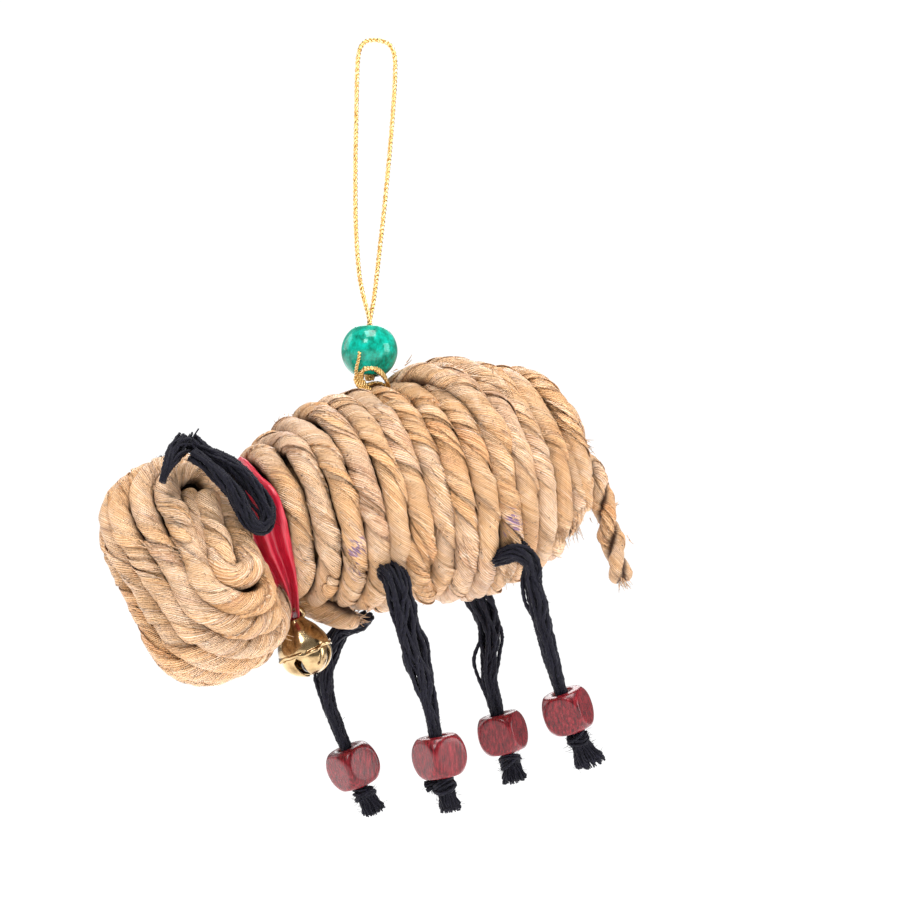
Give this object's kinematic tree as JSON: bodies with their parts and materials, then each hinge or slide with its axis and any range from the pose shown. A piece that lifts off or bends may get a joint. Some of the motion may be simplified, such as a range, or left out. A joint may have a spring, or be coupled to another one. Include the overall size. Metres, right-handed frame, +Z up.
{
  "type": "hanging straw animal ornament",
  "caption": "Small hanging ornament shaped as a goat or sheep: a body and head wound from twisted straw, yarn legs with cube beads, a ribbon with a bell, and a gold cord loop with a bead.",
  "frame": {"origin": "top of the hanging loop's crown, where it rests on a branch or hook", "axes": "+Z up, head towards -X, the animal's left side towards -Y"},
  "size_m": [0.1045, 0.0448, 0.1477],
  "materials": {
    "gold_cord": "twisted metallic thread, satin glitter",
    "green_wood": "glossy stained wood",
    "straw_core": "bundled straw, matte",
    "straw": "twisted dried leaf straw, satin to matte",
    "red_satin": "glossy satin",
    "bell_brass": "polished",
    "pellet_steel": "plain",
    "black_yarn": "matte cotton",
    "red_wood": "stained wood, semi-gloss"
  },
  "bodies": {
    "hanger": {"hanging_loop": "gold_cord"},
    "green_bead": {"green_bead": "green_wood"},
    "cord_knot": {"gold_knot": "gold_cord"},
    "torso": {"gold_tie": "gold_cord", "body_core": "straw_core", "body_wrap": "straw", "rump_coil": "straw", "wrap_end": "straw", "neck_core": "straw_core", "head_core": "straw_core", "head_wrap": "straw", "neck_ribbon": "red_satin", "ribbon_gather": "red_satin", "ear_left_root": "black_yarn", "ear_right_root": "black_yarn", "front_leg_tie": "black_yarn", "hind_leg_tie": "black_yarn"},
    "bell": {"bell_loop": "bell_brass", "bell_dome": "bell_brass", "bell_claws": "bell_brass"},
    "pellet": {"bell_pellet": "pellet_steel"},
    "ear_left": {"ear_left": "black_yarn"},
    "ear_right": {"ear_right": "black_yarn"},
    "tail": {"tail": "straw"},
    "front_left_leg": {"front_left_yarn": "black_yarn", "front_left_knot": "black_yarn"},
    "front_left_bead": {"front_left_bead": "red_wood"},
    "front_right_leg": {"front_right_yarn": "black_yarn", "front_right_knot": "black_yarn"},
    "front_right_bead": {"front_right_bead": "red_wood"},
    "hind_left_leg": {"hind_left_yarn": "black_yarn", "hind_left_knot": "black_yarn"},
    "hind_left_bead": {"hind_left_bead": "red_wood"},
    "hind_right_leg": {"hind_right_yarn": "black_yarn", "hind_right_knot": "black_yarn"},
    "hind_right_bead": {"hind_right_bead": "red_wood"}
  },
  "joints": [
    {"name": "bead_slide", "type": "slide", "parent": "hanger", "child": "green_bead", "axis": [0, 0, 1], "range_m": [0, 0.03], "deforming": ["hanging_loop"]},
    {"name": "ornament_turn", "type": "hinge", "parent": "hanger", "child": "cord_knot", "pos_m": [-0.001, 0, -0.0634], "axis": [0, 0, 1], "range_deg": [-180, 180]},
    {"name": "ornament_swing", "type": "hinge", "parent": "cord_knot", "child": "torso", "pos_m": [-0.00013, 0, -0.06879], "axis": [0, 1, 0], "range_deg": [-10, 18]},
    {"name": "bell_swing", "type": "hinge", "parent": "torso", "child": "bell", "pos_m": [-0.0168, -0.001, -0.1099], "axis": [0, 1, 0], "range_deg": [-10, 25]},
    {"name": "pellet_rattle", "type": "slide", "parent": "bell", "child": "pellet", "axis": [-0.3907, 0, 0.9205], "range_m": [0, 0.0054]},
    {"name": "left_ear_lift", "type": "hinge", "parent": "torso", "child": "ear_left", "pos_m": [-0.0394, -0.0112, -0.0803], "axis": [-0.7395, -0.4397, -0.5097], "range_deg": [0, 60]},
    {"name": "right_ear_lift", "type": "hinge", "parent": "torso", "child": "ear_right", "pos_m": [-0.036, 0.013, -0.0825], "axis": [0.7394, -0.4746, 0.4776], "range_deg": [0, 60]},
    {"name": "tail_sway", "type": "hinge", "parent": "torso", "child": "tail", "pos_m": [0.041, 0, -0.0797], "axis": [0, 1, 0], "range_deg": [-25, 6]},
    {"name": "front_left_hip", "type": "hinge", "parent": "torso", "child": "front_left_leg", "pos_m": [-0.0022, -0.017, -0.1036], "axis": [0, 1, 0], "range_deg": [-20, 40]},
    {"name": "front_left_bead_spin", "type": "hinge", "parent": "front_left_leg", "child": "front_left_bead", "pos_m": [0.0072, -0.015, -0.1359], "axis": [0.1996, 0.0599, -0.978], "continuous": true},
    {"name": "front_right_hip", "type": "hinge", "parent": "torso", "child": "front_right_leg", "pos_m": [-0.001, 0.0094, -0.1095], "axis": [0, 1, 0], "range_deg": [-20, 40]},
    {"name": "front_right_bead_spin", "type": "hinge", "parent": "front_right_leg", "child": "front_right_bead", "pos_m": [0, 0.011, -0.1378], "axis": [0.4207, 0.0432, -0.9062], "continuous": true},
    {"name": "hind_left_hip", "type": "hinge", "parent": "torso", "child": "hind_left_leg", "pos_m": [0.024, -0.0172, -0.0994], "axis": [0, 1, 0], "range_deg": [-20, 20]},
    {"name": "hind_left_bead_spin", "type": "hinge", "parent": "hind_left_leg", "child": "hind_left_bead", "pos_m": [0.033, -0.015, -0.1275], "axis": [0.3924, 0.0872, -0.9156], "continuous": true},
    {"name": "hind_right_hip", "type": "hinge", "parent": "torso", "child": "hind_right_leg", "pos_m": [0.025, 0.01, -0.1044], "axis": [0, 1, 0], "range_deg": [-20, 20]},
    {"name": "hind_right_bead_spin", "type": "hinge", "parent": "hind_right_leg", "child": "hind_right_bead", "pos_m": [0.0308, 0.011, -0.1315], "axis": [0.2849, 0.0259, -0.9582], "continuous": true}
  ]
}
